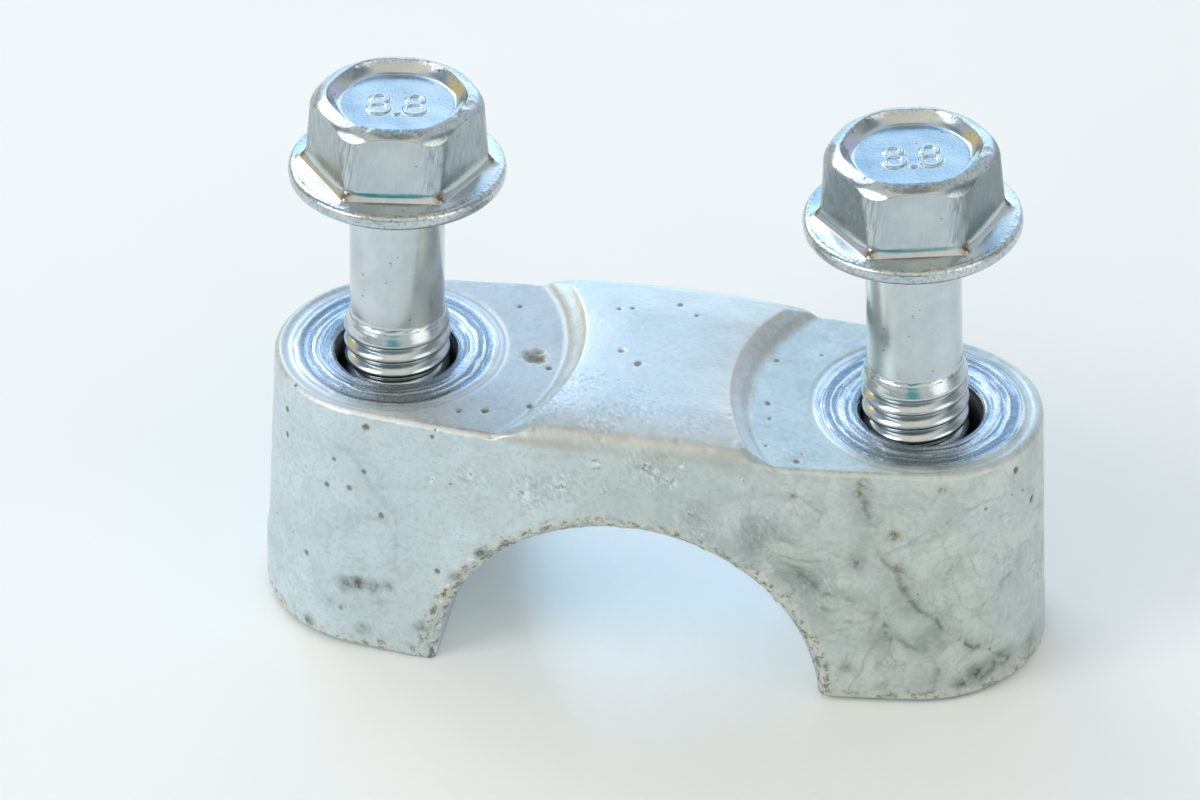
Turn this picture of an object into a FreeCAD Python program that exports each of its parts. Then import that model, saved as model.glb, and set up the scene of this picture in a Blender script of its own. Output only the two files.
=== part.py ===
import FreeCAD
import Part
import math
import os
from FreeCAD import Vector

# Handlebar riser clamp cap: a drafted casting that bridges the bar on two legs,
# with two flange bolts standing in its clearance holes.
# X runs along the cap from bolt to bolt, Y along the bar, Z up from the long leg's sole.
# All sizes are in millimetres and degrees.

# Bar seat
bar_diameter = 28.6
saddle_axis_height = -0.4
saddle_shift = -0.3
saddle_rim_chamfer = 0.9
saddle_web = 0.7

# Cap casting
pad_height = 20.9
short_leg_step = 1.0
pad_end_radius = 8.9
pad_side_bulge = 1.35
draft_flare = 0.9
hump_height = 1.55
hump_crown_radius = 400.0
hump_edge_radius = 1.2
pad_edge_break = 0.35
sole_edge_break = 0.4

# Bolt pads, cut round an upright axis that lies outboard of each bolt
pad_floor_reach = 11.8
pad_floor_radius = 15.2
pad_wall_fillet = 1.5
pad_wall_angle = 45.0
spot_face_margin = 0.25
spot_face_depth = 0.12
hole_clearance = 1.15
hole_mouth_chamfer = 0.3

# Flange bolt, eight millimetre thread
thread_diameter = 7.85
thread_length = 23.5
shank_diameter = 6.95
bolt_length = 35.0
tip_chamfer = 0.9
underhead_fillet = 0.5
flange_diameter = 15.9
flange_rim_height = 1.2
flange_cone_rise = 0.35
hex_across_flats = 11.75
hex_corner_radius = 0.3
hex_foot_spread = 0.3
hex_foot_rise = 0.45
head_height = 6.9
shoulder_radius = 1.2
shoulder_bands = 3
corner_draft = 0.5
rim_setback = 0.72
dish_wall_run = 0.75
dish_depth = 0.9

# How the bolts stand in the cap: each leans in its hole, with its tip about level with that leg's sole.
# A lean's bearing is the direction that the head leans to, counted from +X towards +Y.
left_bolt_turn = 8.5
left_lean_bearing = 94.0
right_bolt_turn = 12.5
right_lean_bearing = 152.0
lean_gap = 0.05
tip_gap = 0.2

# Sizes that follow from the ones above
saddle_radius = bar_diameter / 2
pad_half_width = pad_end_radius + pad_side_bulge
hole_radius = (thread_diameter + hole_clearance) / 2
bolt_offset = saddle_radius + saddle_web + hole_radius
spot_face_radius = flange_diameter / 2 + spot_face_margin
hump_top = pad_height + hump_height
hex_apothem = hex_across_flats / 2
dish_rim_radius = hex_apothem - rim_setback
cut_margin = pad_height / 4
reach_past = 3 * bolt_offset
flat_tolerance = 0.001


def revolved(points):
    """Solid of revolution about Z of a closed profile of (radius, height) points."""
    corners = [Vector(radius, 0, height) for radius, height in points]
    face = Part.Face(Part.makePolygon(corners + corners[:1]))
    return face.revolve(Vector(0, 0, 0), Vector(0, 0, 1), 360)


def lies_at(edge, height):
    """True for an edge that runs level at a height."""
    box = edge.BoundBox
    return abs(box.ZMin - height) < flat_tolerance and abs(box.ZMax - height) < flat_tolerance


def drafted_cone(centre, pad_radius):
    """Upright cone that widens by the casting's draft from the pads down to the sole."""
    top_radius = pad_radius - draft_flare * hump_height / pad_height
    return Part.makeCone(pad_radius + draft_flare, top_radius, hump_top, centre, Vector(0, 0, 1))


def drafted_block():
    """Block with a round end about each bolt axis, joined by bulged sides that meet the ends smoothly."""
    side_radius = (bolt_offset ** 2 + pad_half_width ** 2 - pad_end_radius ** 2) / (2 * pad_side_bulge)
    centre_drop = side_radius - pad_half_width
    back = drafted_cone(Vector(0, -centre_drop, 0), side_radius)
    front = drafted_cone(Vector(0, centre_drop, 0), side_radius)
    tangent = Vector(bolt_offset, centre_drop, 0).normalize() * 2 * pad_half_width
    corner_x = bolt_offset + tangent.x
    corners = [
        Vector(bolt_offset, 0, 0),
        Vector(corner_x, tangent.y, 0),
        Vector(-corner_x, tangent.y, 0),
        Vector(-bolt_offset, 0, 0),
        Vector(-corner_x, -tangent.y, 0),
        Vector(corner_x, -tangent.y, 0),
    ]
    between_ends = Part.Face(Part.makePolygon(corners + corners[:1])).extrude(Vector(0, 0, hump_top))
    block = back.common(front).common(between_ends)
    for side in (-1, 1):
        end = drafted_cone(Vector(side * bolt_offset, 0, 0), pad_end_radius)
        block = block.fuse(end.cut(between_ends))
    return block.removeSplitter().Solids[0]


def crowned_block():
    """Drafted block whose top edge is rounded over and whose top is crowned along X."""
    block = drafted_block()
    rounded = block.makeFillet(hump_edge_radius, [e for e in block.Edges if lies_at(e, hump_top)])
    crown_base = Vector(0, -reach_past, hump_top - hump_crown_radius)
    crown = Part.makeCylinder(hump_crown_radius, 2 * reach_past, crown_base, Vector(0, 1, 0))
    return rounded.common(crown)


def pad_cutter(side):
    """Round cutter that sinks one bolt pad and leaves a filleted wall up to the hump."""
    angle = math.radians(pad_wall_angle)
    fillet_centre = Vector(pad_floor_radius, 0, pad_height + pad_wall_fillet)
    half_angle = angle / 2
    start = Vector(pad_floor_radius, 0, pad_height)
    middle = fillet_centre + Vector(math.sin(half_angle), 0, -math.cos(half_angle)) * pad_wall_fillet
    end = fillet_centre + Vector(math.sin(angle), 0, -math.cos(angle)) * pad_wall_fillet
    top = hump_top + cut_margin
    wall_top = Vector(end.x + (top - end.z) / math.tan(angle), 0, top)
    axis_floor = Vector(0, 0, pad_height)
    axis_top = Vector(0, 0, top)
    profile = Part.Wire([
        Part.LineSegment(axis_floor, start).toShape(),
        Part.Arc(start, middle, end).toShape(),
        Part.LineSegment(end, wall_top).toShape(),
        Part.LineSegment(wall_top, axis_top).toShape(),
        Part.LineSegment(axis_top, axis_floor).toShape(),
    ])
    cutter = Part.Face(profile).revolve(Vector(0, 0, 0), Vector(0, 0, 1), 360)
    axis_x = side * (bolt_offset + pad_floor_radius - pad_floor_reach)
    cutter.translate(Vector(axis_x, 0, 0))
    return cutter


def saddle_cutter():
    """Bar seat, running through both faces of the cap."""
    start = Vector(saddle_shift, -reach_past, saddle_axis_height)
    return Part.makeCylinder(saddle_radius, 2 * reach_past, start, Vector(0, 1, 0))


def hole_cutter(side):
    """Bolt hole with a broken mouth, and the shallow ring that the flange bears on."""
    spot_floor = pad_height - spot_face_depth
    cutter = revolved([
        (0, -cut_margin),
        (hole_radius, -cut_margin),
        (hole_radius, spot_floor - hole_mouth_chamfer),
        (hole_radius + hole_mouth_chamfer, spot_floor),
        (spot_face_radius, spot_floor),
        (spot_face_radius, pad_height + cut_margin),
        (0, pad_height + cut_margin),
    ])
    cutter.translate(Vector(side * bolt_offset, 0, 0))
    return cutter


def broken_pad_edges(block):
    """Block with the outer edge of both pads chamfered."""
    level = [e for e in block.Edges if lies_at(e, pad_height)]
    rims = [e for e in level if abs(e.Curve.Radius - pad_floor_radius) > flat_tolerance]
    return block.makeChamfer(pad_edge_break, rims)


def broken_saddle_rims(block):
    """Block with the curved edges of the bar seat chamfered at both faces."""
    seats = [f for f in block.Faces if isinstance(f.Surface, Part.Cylinder)]
    seats = [f for f in seats if abs(f.Surface.Radius - saddle_radius) < flat_tolerance]
    rims = [e for f in seats for e in f.Edges if isinstance(e.Curve, Part.BSplineCurve)]
    return block.makeChamfer(saddle_rim_chamfer, rims)


def broken_sole_edges(block):
    """Block with the outer edge of both soles chamfered; the bar seat's edges stay as cut."""
    soles = [e for e in block.Edges if lies_at(e, 0) or lies_at(e, short_leg_step)]
    rims = [e for e in soles if isinstance(e.Curve, Part.Circle)]
    return block.makeChamfer(sole_edge_break, rims)


def clamp_cap():
    """The casting: block, sunk pads, bar seat, stepped legs and bolt holes."""
    cap = crowned_block().cut(pad_cutter(-1)).cut(pad_cutter(1)).Solids[0]
    cap = broken_pad_edges(cap).Solids[0]
    step = Part.makeBox(reach_past, 2 * reach_past, short_leg_step, Vector(0, -reach_past, 0))
    cap = cap.cut(saddle_cutter()).cut(step).Solids[0]
    cap = broken_saddle_rims(cap).Solids[0]
    cap = broken_sole_edges(cap).Solids[0]
    for side in (-1, 1):
        cap = cap.cut(hole_cutter(side))
    return cap.Solids[0]


def rounded_hexagon(apothem, height):
    """Level hexagon wire with rounded corners, one flat facing -Y."""
    corner_reach = (apothem - hex_corner_radius) / math.cos(math.radians(30))
    edges = []
    for index in range(6):
        turn = math.radians(60 * index)
        corner = Vector(corner_reach * math.cos(turn), corner_reach * math.sin(turn), height)
        next_turn = turn + math.radians(60)
        next_corner = Vector(corner_reach * math.cos(next_turn), corner_reach * math.sin(next_turn), height)
        normals = [turn - math.radians(30), turn, turn + math.radians(30)]
        arc = [corner + Vector(math.cos(n), math.sin(n), 0) * hex_corner_radius for n in normals]
        edges.append(Part.Arc(arc[0], arc[1], arc[2]).toShape())
        flat_end = next_corner + Vector(math.cos(normals[2]), math.sin(normals[2]), 0) * hex_corner_radius
        edges.append(Part.LineSegment(arc[2], flat_end).toShape())
    return Part.Wire(edges)


def head_blank():
    """Round blank of the head: dished top, shoulder turned in bands, and sides that widen to the foot."""
    side_radius = dish_rim_radius + shoulder_radius
    shoulder_height = head_height - shoulder_radius
    dish_floor = head_height - dish_depth
    shoulder = []
    for step in range(shoulder_bands + 1):
        turn = math.radians(90 * step / shoulder_bands)
        out = shoulder_radius * math.cos(turn)
        rise = shoulder_radius * math.sin(turn)
        shoulder.append((dish_rim_radius + out, shoulder_height + rise))
    return revolved([
        (0, 0),
        (side_radius + corner_draft, 0),
        *shoulder,
        (dish_rim_radius - dish_wall_run, dish_floor),
        (0, dish_floor),
    ])


def hexagon_head():
    """Hexagon with the blank's rounded shoulder and dish, standing on a low spread foot."""
    hexagon = Part.Face(rounded_hexagon(hex_apothem, 0)).extrude(Vector(0, 0, head_height))
    foot_base = rounded_hexagon(hex_apothem + hex_foot_spread, flange_rim_height)
    foot_top = rounded_hexagon(hex_apothem, flange_rim_height + hex_foot_rise)
    foot = Part.makeLoft([foot_base, foot_top], True, True)
    return hexagon.common(head_blank()).fuse(foot)


def flange_bolt():
    """Bolt with the flange's bearing face at height zero and the head above it."""
    flange_radius = flange_diameter / 2
    shank_radius = shank_diameter / 2
    thread_radius = thread_diameter / 2
    thread_top = thread_length - bolt_length
    runout = thread_radius - shank_radius
    body = revolved([
        (0, -bolt_length),
        (thread_radius - tip_chamfer, -bolt_length),
        (thread_radius, tip_chamfer - bolt_length),
        (thread_radius, thread_top - runout),
        (shank_radius, thread_top),
        (shank_radius, -underhead_fillet),
        (shank_radius + underhead_fillet, 0),
        (flange_radius, 0),
        (flange_radius, flange_rim_height),
        (dish_rim_radius, flange_rim_height + flange_cone_rise),
        (0, flange_rim_height + flange_cone_rise),
    ])
    return body.fuse(hexagon_head()).removeSplitter()


def standing_bolt(side, sole_height, turn, bearing):
    """Bolt turned about its own axis and leaned across its hole until it almost touches the wall."""
    hole_length = pad_height - sole_height
    lean = math.degrees(math.atan((hole_clearance - 2 * lean_gap) / hole_length))
    bolt = flange_bolt()
    bolt.rotate(Vector(0, 0, 0), Vector(0, 0, 1), turn)
    bolt.translate(Vector(0, 0, sole_height + tip_gap + bolt_length))
    tilt_axis = Vector(-math.sin(math.radians(bearing)), math.cos(math.radians(bearing)), 0)
    bolt.rotate(Vector(0, 0, sole_height + hole_length / 2), tilt_axis, lean)
    bolt.translate(Vector(side * bolt_offset, 0, 0))
    return bolt


pieces = {
    "clamp_cap": clamp_cap(),
    "left_flange_bolt": standing_bolt(-1, 0.0, left_bolt_turn, left_lean_bearing),
    "right_flange_bolt": standing_bolt(1, short_leg_step, right_bolt_turn, right_lean_bearing),
}
os.makedirs("parts", exist_ok=True)
for name, shape in pieces.items():
    shape.exportStep("parts/" + name + ".step")
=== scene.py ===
import math
import bmesh
import bpy
import numpy as np
from mathutils import Matrix, Vector
from mathutils.bvhtree import BVHTree
from mathutils.kdtree import KDTree


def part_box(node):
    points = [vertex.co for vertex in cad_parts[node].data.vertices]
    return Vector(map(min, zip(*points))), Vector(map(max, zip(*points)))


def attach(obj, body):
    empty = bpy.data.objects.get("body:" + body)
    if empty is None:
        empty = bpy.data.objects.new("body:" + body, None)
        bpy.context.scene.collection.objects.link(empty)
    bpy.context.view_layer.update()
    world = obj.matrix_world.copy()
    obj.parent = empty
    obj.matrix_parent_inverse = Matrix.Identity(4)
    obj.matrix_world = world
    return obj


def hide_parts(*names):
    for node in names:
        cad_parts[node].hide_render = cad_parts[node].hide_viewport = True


# A cast clamp cap with two zinc-plated flange bolts standing in its holes.
# Meshes are worked out in millimetres in the frame's own axes and turned into metres at the end.

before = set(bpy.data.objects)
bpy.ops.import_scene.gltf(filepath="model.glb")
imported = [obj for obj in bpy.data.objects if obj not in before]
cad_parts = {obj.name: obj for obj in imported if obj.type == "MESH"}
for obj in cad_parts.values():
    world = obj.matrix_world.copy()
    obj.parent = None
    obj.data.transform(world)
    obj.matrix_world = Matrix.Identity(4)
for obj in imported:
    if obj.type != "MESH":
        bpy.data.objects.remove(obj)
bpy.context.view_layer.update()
MM = 0.001
SEED = 7
NOISE_CELLS = 32
WELD_GAP = 0.0005

# Sizes shared with the solids, in millimetres
BOLT_OFFSET = 19.5
PAD_HEIGHT = 20.9
SADDLE_CENTRE = (-0.3, -0.4)
SADDLE_RADIUS = 14.3
SADDLE_RIM = 0.9
SHORT_LEG_STEP = 1.0
HOLE_RADIUS = 4.5
SPOT_FACE_RADIUS = 8.2
ARC_CENTRE = 22.9
ARC_FOOT = 15.82
ARC_TOP = 17.4

# Camera, worked out from outlines: radians, millimetres, and pixels to the millimetre for the scale
IMAGE_SIZE = (1200, 800)
VIEW_YAW = 0.1799
VIEW_ELEVATION = 0.6283
VIEW_ROLL = 0.0094
VIEW_DISTANCE = 615.5
VIEW_TARGET = (-4.1883, 14.6213)
VIEW_SCALE = 13.4158
VIEW_FOCAL_PIXELS = VIEW_SCALE * VIEW_DISTANCE
VIEW_BASE_HEIGHT = 0.5
SENSOR_WIDTH = 36.0
CLIP_RANGE = (0.01, 100.0)


def smooth(low, high, value):
    """Smooth step from 0 at low to 1 at high."""
    t = np.clip((value - low) / (high - low), 0.0, 1.0)
    return t * t * (3.0 - 2.0 * t)


def mix(first, second, share):
    return first + (second - first) * share


def value_noise(points, size, seed):
    """Smooth seeded noise from -1 to 1 at points, with bumps of about a size."""
    lattice = np.random.default_rng(SEED + seed).uniform(-1.0, 1.0, (NOISE_CELLS,) * 3)
    scaled = np.asarray(points) / size
    cell = np.floor(scaled).astype(int)
    part = scaled - cell
    part = part * part * (3.0 - 2.0 * part)
    total = np.zeros(len(scaled))
    for corner in np.ndindex(2, 2, 2):
        weight = np.prod(np.where(np.array(corner) == 1, part, 1.0 - part), axis=1)
        index = (cell + np.array(corner)) % NOISE_CELLS
        total += weight * lattice[index[:, 0], index[:, 1], index[:, 2]]
    return total


def new_object(name, data):
    made = bpy.data.objects.new(name, data)
    bpy.context.scene.collection.objects.link(made)
    return made


# Camera


def camera_axes():
    """Unit vectors right, up and back of the camera, and its place in millimetres."""
    back = Vector((
        math.sin(VIEW_YAW) * math.cos(VIEW_ELEVATION),
        -math.cos(VIEW_YAW) * math.cos(VIEW_ELEVATION),
        math.sin(VIEW_ELEVATION),
    ))
    level = Vector((math.cos(VIEW_YAW), math.sin(VIEW_YAW), 0.0))
    rise = back.cross(level)
    target = level * VIEW_TARGET[0] + rise * VIEW_TARGET[1] + Vector((0.0, 0.0, VIEW_BASE_HEIGHT))
    right = level * math.cos(VIEW_ROLL) + rise * math.sin(VIEW_ROLL)
    up = rise * math.cos(VIEW_ROLL) - level * math.sin(VIEW_ROLL)
    return right, up, back, target + back * VIEW_DISTANCE


RIGHT, UP, BACK, EYE = camera_axes()


def make_camera():
    data = bpy.data.cameras.new("camera")
    data.sensor_width = SENSOR_WIDTH
    data.lens = VIEW_FOCAL_PIXELS * SENSOR_WIDTH / IMAGE_SIZE[0]
    data.clip_start, data.clip_end = CLIP_RANGE
    camera = new_object("camera", data)
    axes = Matrix((RIGHT, UP, BACK)).transposed().to_4x4()
    camera.matrix_world = Matrix.Translation(EYE * MM) @ axes
    bpy.context.scene.camera = camera


def pixel_ray(pixel):
    """Direction from the eye through a pixel of the photograph."""
    across = (pixel[0] - IMAGE_SIZE[0] / 2) / VIEW_FOCAL_PIXELS
    down = (pixel[1] - IMAGE_SIZE[1] / 2) / VIEW_FOCAL_PIXELS
    return (RIGHT * across - UP * down - BACK).normalized()


def cap_surface():
    """Search tree over the cap's solid, in millimetres."""
    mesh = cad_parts["clamp_cap"].data
    corners = [v.co / MM for v in mesh.vertices]
    return BVHTree.FromPolygons(corners, [p.vertices[:] for p in mesh.polygons])


CAP_SURFACE = cap_surface()


def on_cap(pixel):
    """Place on the cap that the photograph shows at a pixel."""
    place = CAP_SURFACE.ray_cast(EYE, pixel_ray(pixel))[0]
    return np.array(place)


# Marks on the casting that the photograph shows: pixel, radius and depth in millimetres
PITS = [
    (535, 357, 0.75, 0.40), (549, 368, 0.22, 0.15), (520, 307, 0.25, 0.12), (621, 350, 0.24, 0.12),
    (637, 364, 0.34, 0.10), (530, 406, 0.28, 0.14), (485, 411, 0.30, 0.16), (458, 411, 0.26, 0.12),
    (620, 308, 0.20, 0.08), (633, 308, 0.20, 0.08), (681, 304, 0.26, 0.06), (697, 315, 0.20, 0.08),
    (776, 360, 0.22, 0.10), (822, 355, 0.18, 0.08), (768, 403, 0.24, 0.10), (287, 409, 0.26, 0.14),
    (287, 434, 0.24, 0.12), (366, 428, 0.34, 0.18), (349, 488, 0.28, 0.14), (381, 516, 0.26, 0.14),
    (327, 484, 0.22, 0.10), (437, 571, 0.24, 0.12), (334, 459, 0.20, 0.08), (364, 472, 0.24, 0.10),
    (432, 437, 0.20, 0.08), (306, 552, 0.28, 0.08), (340, 608, 0.22, 0.10), (1032, 499, 0.34, 0.14),
    (1016, 470, 0.30, 0.14), (770, 418, 0.20, 0.10), (766, 445, 0.18, 0.08), (796, 461, 0.26, 0.10),
    (802, 454, 0.16, 0.08), (600, 436, 0.26, 0.10), (628, 434, 0.24, 0.10), (678, 437, 0.26, 0.10),
    (708, 447, 0.24, 0.10), (520, 430, 0.22, 0.08),
]

# Shallow chips with a raised side: pixel and radius in millimetres
CHIPS = [
    (596, 465, 0.42), (604, 490, 0.30), (646, 468, 0.45), (671, 484, 0.42), (690, 514, 0.38),
    (524, 495, 0.40), (562, 487, 0.34), (655, 478, 0.30), (681, 466, 0.24), (741, 479, 0.24),
    (735, 437, 0.30), (432, 480, 0.26), (470, 476, 0.26),
]

# Rust spots: pixel and radius in millimetres
RUST_SPOTS = [
    (864, 484, 0.50), (859, 494, 0.40), (894, 536, 0.55), (897, 569, 0.42), (905, 588, 0.32),
    (942, 491, 0.30), (950, 523, 0.20), (792, 496, 0.26), (857, 564, 0.42), (835, 554, 0.24),
    (1016, 471, 0.34), (1032, 499, 0.34), (540, 358, 0.55), (366, 428, 0.28), (287, 409, 0.22),
    (485, 411, 0.30), (458, 411, 0.30),
]

# Dark hairlines: strength and the pixels along each one
VEINS = [
    (1.0, [(862, 498), (869, 519), (873, 546), (884, 561), (898, 570), (905, 593), (916, 609), (934, 620)]),
    (1.0, [(934, 620), (947, 636), (970, 647), (988, 651), (1006, 658)]),
    (0.9, [(790, 561), (808, 579), (830, 593), (853, 602), (875, 618), (889, 636), (907, 645), (929, 651)]),
    (0.8, [(929, 651), (938, 669), (936, 690)]),
    (0.7, [(821, 606), (848, 620), (871, 620)]),
    (0.7, [(979, 609), (997, 588), (1010, 570), (1019, 559)]),
    (0.6, [(943, 584), (961, 559)]),
    (0.35, [(348, 447), (361, 468), (372, 489), (387, 507), (399, 526)]),
    (0.35, [(387, 519), (395, 541), (395, 567)]),
    (0.30, [(327, 537), (339, 522), (357, 517), (384, 521)]),
    (0.45, [(320, 590), (335, 604), (357, 607), (391, 601)]),
]
VEIN_HALF_WIDTH = 0.27
VEIN_WANDER = 0.35

# Soft dark stains: pixel, radius in millimetres and strength
STAINS = [
    (758, 543, 3.0, 0.42), (800, 575, 2.4, 0.40), (857, 562, 1.4, 0.35), (880, 640, 1.6, 0.30),
    (905, 600, 1.6, 0.35), (930, 640, 1.6, 0.35), (700, 520, 2.0, 0.35), (345, 584, 0.9, 1.0),
    (358, 583, 0.8, 1.2), (372, 585, 0.8, 1.2), (386, 586, 0.7, 0.9), (310, 620, 0.7, 0.80),
    (363, 629, 0.8, 0.85), (421, 626, 0.7, 0.90), (481, 554, 0.7, 0.90), (455, 577, 0.7, 0.90),
    (962, 681, 1.0, 1.0), (975, 674, 1.4, 1.5), (988, 666, 1.2, 1.3), (1004, 656, 1.0, 0.9),
    (1030, 640, 1.4, 0.45), (846, 668, 0.6, 0.60),
]

# Hair scratches: pixel, radius in millimetres and strength
SCUFFS = [
    (555, 395, 3.2, 1.0), (585, 380, 2.4, 1.0), (600, 415, 3.0, 0.9), (640, 400, 3.5, 0.7),
    (530, 420, 2.0, 0.8), (690, 420, 3.0, 0.5), (530, 490, 2.4, 1.0), (565, 485, 2.0, 0.9),
    (650, 470, 2.6, 0.8), (700, 525, 2.6, 0.8), (760, 530, 2.8, 0.8), (470, 480, 2.6, 0.5),
    (820, 590, 2.6, 0.6), (500, 395, 2.0, 0.4), (800, 450, 2.2, 0.4),
]

# Casting mesh
VOXEL = 0.13
CAP_TRIANGLES = 196000
RANDOM_PITS = 70
RANDOM_PIT_RADIUS = (0.10, 0.12)
RANDOM_PIT_DEPTH = (0.3, 0.5)
PARTING_HEIGHT = 4.8
PARTING_WANDER = 0.35
PARTING_JOG = 0.12
CHIP_RELIEF = 0.07
PIT_SOFTENING = 0.6
HUMP_EDGE_WEAR = 0.38
HUMP_SIDE_WEAR = 0.30
HUMP_SIDE_REACH = 4.4
FOOT_SHARPENING = 0.10
FOOT_WIDTH = 0.40
EDGE_SOFTENING = 0.5
EDGE_SOFTENING_STEPS = 5
DENT_REACH = 1.6
DENT_RAGGEDNESS = 0.35
RUST_SPREAD = 1.2
CHIP_SPREAD = 1.5

# Waves of the cast skin and of its rough rims: height, size and seed
CAST_WAVES = [(0.045, 5.0, 1), (0.020, 1.5, 2), (0.009, 0.5, 3)]
RIM_WAVES = [(0.10, 0.75, 4), (0.06, 0.38, 5)]
RIM_SINK = 0.04
RIM_RAGGEDNESS = 0.30

# Rings scored into the pads: side and strength, count, and ranges of width, depth and extent
PAD_SCORING = [(-1.0, 0.6), (1.0, 1.0)]
RING_COUNT = 16
RING_WIDTH = (0.08, 0.20)
RING_DEPTH = (0.02, 0.07)
RING_EXTENT = (0.3, 1.0)
RING_WANDER = 0.10


def modified_mesh(made, name):
    """Mesh of an object with its modifiers applied; the object goes."""
    bpy.context.view_layer.update()
    graph = bpy.context.evaluated_depsgraph_get()
    mesh = bpy.data.meshes.new_from_object(made.evaluated_get(graph))
    mesh.name = name
    bpy.data.objects.remove(made)
    return mesh


def vertex_arrays(mesh):
    """Places and unit normals of a mesh's vertices."""
    places = np.empty(len(mesh.vertices) * 3, np.float32)
    normals = np.empty(len(mesh.vertices) * 3, np.float32)
    mesh.vertices.foreach_get("co", places)
    mesh.vertex_normals.foreach_get("vector", normals)
    return places.reshape(-1, 3).astype(float), normals.reshape(-1, 3).astype(float)


def even_cap_mesh():
    """The cap's solid as an even fine mesh in millimetres, with its sharp edges a little softened."""
    guide_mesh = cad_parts["clamp_cap"].data.copy()
    guide_mesh.transform(Matrix.Scale(1.0 / MM, 4))
    welded = bmesh.new()
    welded.from_mesh(guide_mesh)
    bmesh.ops.remove_doubles(welded, verts=welded.verts, dist=WELD_GAP)
    welded.to_mesh(guide_mesh)
    welded.free()
    guide = new_object("cap_guide", guide_mesh)
    work = new_object("cap_work", guide_mesh.copy())
    remesh = work.modifiers.new("remesh", "REMESH")
    remesh.mode = "VOXEL"
    remesh.voxel_size = VOXEL
    wrap = work.modifiers.new("wrap", "SHRINKWRAP")
    wrap.target = guide
    wrap.wrap_method = "NEAREST_SURFACEPOINT"
    soften = work.modifiers.new("soften", "SMOOTH")
    soften.factor = EDGE_SOFTENING
    soften.iterations = EDGE_SOFTENING_STEPS
    mesh = modified_mesh(work, "cast_cap")
    bpy.data.objects.remove(guide)
    return mesh


def vertex_tree(places):
    """Search tree over the places of vertices."""
    tree = KDTree(len(places))
    for index, place in enumerate(places):
        tree.insert(place, index)
    tree.balance()
    return tree


def from_seat(places):
    """Distance of places outside the round seat of the bar."""
    return np.hypot(places[:, 0] - SADDLE_CENTRE[0], places[:, 2] - SADDLE_CENTRE[1]) - SADDLE_RADIUS


def from_arc_centre(places):
    """Distance of places from the centre of the nearer arc-cut wall."""
    return np.hypot(np.abs(places[:, 0]) - ARC_CENTRE, places[:, 1])


def above_pad(places, low, high):
    """Smooth step from 0 to 1 between two heights over the pads."""
    return smooth(PAD_HEIGHT + low, PAD_HEIGHT + high, places[:, 2])


def pad_place(places, normals):
    """Distance from the nearer bolt axis, angle about it, side (-1 or 1), and a mask of the pad's top."""
    side = np.where(places[:, 0] < 0, -1.0, 1.0)
    across = places[:, 0] - side * BOLT_OFFSET
    radius = np.hypot(across, places[:, 1])
    angle = np.arctan2(places[:, 1], across)
    top = smooth(0.55, 0.85, normals[:, 2]) * above_pad(places, -0.6, -0.3)
    return radius, angle, side, top * (radius < SPOT_FACE_RADIUS + 0.9)


def scoring(radius, angle, side):
    """Depth of the rings that the flanges scored into the pads."""
    draws = np.random.default_rng(SEED)
    depth = np.zeros(len(radius))
    for pad, strength in PAD_SCORING:
        mask = side == pad
        for _ in range(RING_COUNT):
            ring = draws.uniform(HOLE_RADIUS + 0.5, SPOT_FACE_RADIUS - 0.1)
            width = draws.uniform(*RING_WIDTH)
            groove = draws.uniform(*RING_DEPTH) * strength
            start = draws.uniform(-math.pi, math.pi)
            extent = draws.uniform(*RING_EXTENT)
            wander = RING_WANDER * np.sin(angle[mask] + start)
            here = np.exp(-(((radius[mask] + wander - ring) / width) ** 2))
            arc = smooth(-extent, 0.4, np.cos(angle[mask] - start))
            depth[mask] += groove * here * arc
    return depth


def rim_masks(places, normals):
    """Masks of the bar seat's chamfered rim and of a band along the soles."""
    reach = from_seat(places)
    ragged = RIM_RAGGEDNESS * value_noise(places, 0.9, 8)
    rim = smooth(-0.25, 0.05, reach) * (1.0 - smooth(SADDLE_RIM + 0.2, SADDLE_RIM + 0.7, reach + ragged))
    rim *= smooth(0.25, 0.5, np.abs(normals[:, 1]))
    sole = np.where(places[:, 0] < 0, 0.0, SHORT_LEG_STEP)
    band = 1.0 - smooth(0.60, 1.40, places[:, 2] - sole + 1.8 * ragged)
    band *= smooth(SADDLE_RIM, SADDLE_RIM + 0.2, reach) * smooth(-0.85, -0.4, normals[:, 2])
    return rim, band


def dent(places, tree, centre, radius):
    """Indices and depth profile of a round hollow about a centre."""
    found = tree.find_range(Vector(centre), radius * DENT_REACH)
    index = np.array([entry[1] for entry in found], int)
    gap = np.array([entry[2] for entry in found])
    gap = gap * (1.0 + DENT_RAGGEDNESS * value_noise(places[index], 0.4, 9))
    return index, 1.0 - smooth(0.35, 1.5, gap / radius)


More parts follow.
